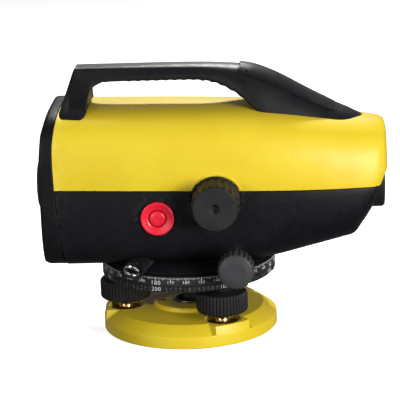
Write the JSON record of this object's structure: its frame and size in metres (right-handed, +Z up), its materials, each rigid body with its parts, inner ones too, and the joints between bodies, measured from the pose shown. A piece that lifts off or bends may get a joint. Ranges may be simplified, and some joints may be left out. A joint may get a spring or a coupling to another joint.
{
  "type": "automatic level",
  "caption": "Surveyor's automatic level with carrying handle on a footscrew base; turns, levels and focuses to read a staff along a level line.",
  "frame": {"origin": "on the standing axis at the underside of the base plate, in the middle of the tripod thread", "axes": "+Z up along the standing axis; +X along the telescope towards the eyepiece; -Y is the side with the focusing knob and red button"},
  "size_m": [0.2076, 0.135, 0.1604],
  "materials": {
    "yellow_paint": "satin enamel with fine orange peel",
    "black_plastic": "fine spark-eroded texture",
    "black_rubber": "matt, slightly grained",
    "grey_plastic": "fine moulded texture",
    "red_plastic": "moulded, glossy",
    "brass": "turned",
    "steel": "turned and plated",
    "aluminium": "machined",
    "black_metal": "black anodised, satin",
    "glass": "polished and coated"
  },
  "bodies": {
    "base": {"base_plate": "yellow_paint", "tripod_bush": "steel", "disc_screw_left": "brass", "disc_screw_right": "brass", "foot_seat_front": "brass", "foot_seat_right": "brass", "foot_seat_left": "brass"},
    "footscrew_front": {"footscrew_knob_front": "black_plastic", "footscrew_spindle_front": "brass"},
    "footscrew_right": {"footscrew_knob_right": "black_plastic", "footscrew_spindle_right": "brass"},
    "footscrew_left": {"footscrew_knob_left": "black_plastic", "footscrew_spindle_left": "brass"},
    "tribrach": {"tribrach_plate": "black_metal", "vertical_axle": "steel", "thread_bush_front": "brass", "thread_bush_right": "brass", "thread_bush_left": "brass"},
    "circle": {"circle_ring": "black_metal"},
    "wheel": {"worm_wheel": "brass"},
    "instrument": {"lower_housing": "black_plastic", "top_cover": "yellow_paint", "front_bezel": "black_plastic", "objective_cell": "black_metal", "objective_lens": "glass", "telescope_tube": "black_metal", "reticle": "glass", "eyepiece_mount": "black_metal", "axle_bush": "brass", "focus_bearing": "black_plastic", "compensator_frame": "aluminium", "suspension_pin": "steel", "damper_magnet": "steel", "fixed_prism": "glass", "button_bezel": "red_plastic", "button_spring": "steel", "loupe_housing": "black_plastic", "loupe_ring": "steel", "loupe_lens": "glass", "level_case": "black_metal", "level_vial": "glass", "handle": "black_rubber", "sight_cover": "black_plastic", "handle_screw_front": "steel", "handle_screw_rear": "steel"},
    "horizontal_drive": {"worm_shaft": "steel", "drive_knob_right": "grey_plastic", "drive_knob_left": "grey_plastic"},
    "focus_knob": {"focus_knob": "black_plastic", "focus_pinion": "steel"},
    "focusing_carriage": {"focusing_carriage": "aluminium", "focusing_lens": "glass"},
    "pendulum": {"pendulum": "brass", "pendulum_prism": "glass"},
    "push_button": {"push_button": "red_plastic"},
    "eyepiece_ring": {"eyepiece_ring": "black_rubber"},
    "eyepiece_barrel": {"eyepiece_barrel": "black_metal", "eyepiece_lens": "glass"}
  },
  "joints": [
    {"name": "footscrew_front_turn", "type": "hinge", "parent": "base", "child": "footscrew_front", "pos_m": [-0.03898, -0.00136, 0.0116], "axis": [0, 0, 1], "range_deg": [-720, 720]},
    {"name": "levelling_tilt", "type": "hinge", "parent": "base", "child": "tribrach", "pos_m": [0.01949, 0.00068, 0.0116], "axis": [-0.0349, 0.9994, 0], "range_deg": [-1.45, 1.45]},
    {"name": "footscrew_right_turn", "type": "hinge", "parent": "tribrach", "child": "footscrew_right", "pos_m": [0.02067, -0.03307, 0.0116], "axis": [0, 0, 1], "range_deg": [-720, 720]},
    {"name": "footscrew_left_turn", "type": "hinge", "parent": "tribrach", "child": "footscrew_left", "pos_m": [0.01831, 0.03444, 0.0116], "axis": [0, 0, 1], "range_deg": [-720, 720]},
    {"name": "circle_turn", "type": "hinge", "parent": "tribrach", "child": "circle", "pos_m": [0, 0, 0.039], "axis": [0, 0, 1], "continuous": true},
    {"name": "slew", "type": "hinge", "parent": "tribrach", "child": "wheel", "pos_m": [0, 0, 0.051], "axis": [0, 0, 1], "continuous": true},
    {"name": "fine_drive", "type": "hinge", "parent": "wheel", "child": "instrument", "pos_m": [0, 0, 0.051], "axis": [0, 0, 1], "continuous": true},
    {"name": "drive_knobs_turn", "type": "hinge", "parent": "instrument", "child": "horizontal_drive", "pos_m": [0.0305, 0, 0.0507], "axis": [0, 1, 0], "continuous": true},
    {"name": "focus_turn", "type": "hinge", "parent": "instrument", "child": "focus_knob", "pos_m": [0.0195, 0, 0.0866], "axis": [0, 1, 0], "range_deg": [-175, 175]},
    {"name": "focusing_slide", "type": "slide", "parent": "instrument", "child": "focusing_carriage", "axis": [1, 0, 0], "range_m": [-0.0091, 0.0091]},
    {"name": "pendulum_swing", "type": "hinge", "parent": "instrument", "child": "pendulum", "pos_m": [0.06, 0, 0.103], "axis": [0, 1, 0], "range_deg": [-0.7, 0.7]},
    {"name": "button_press", "type": "slide", "parent": "instrument", "child": "push_button", "axis": [0, 1, 0], "range_m": [0, 0.002], "stiffness_N_per_m": 300, "springref_m": -0.001},
    {"name": "eyepiece_turn", "type": "hinge", "parent": "instrument", "child": "eyepiece_ring", "pos_m": [0, 0, 0.089], "axis": [1, 0, 0], "range_deg": [-156, 156]},
    {"name": "eyepiece_slide", "type": "slide", "parent": "instrument", "child": "eyepiece_barrel", "axis": [1, 0, 0], "range_m": [-0.00135, 0.00135]}
  ],
  "couplings": [
    {"joint": "footscrew_front_turn", "follows": "levelling_tilt", "ratio": 490.1},
    {"joint": "drive_knobs_turn", "follows": "fine_drive", "ratio": 75},
    {"joint": "focus_turn", "follows": "focusing_slide", "rad_per_m": 333.33},
    {"joint": "eyepiece_turn", "follows": "eyepiece_slide", "rad_per_m": 2000}
  ]
}
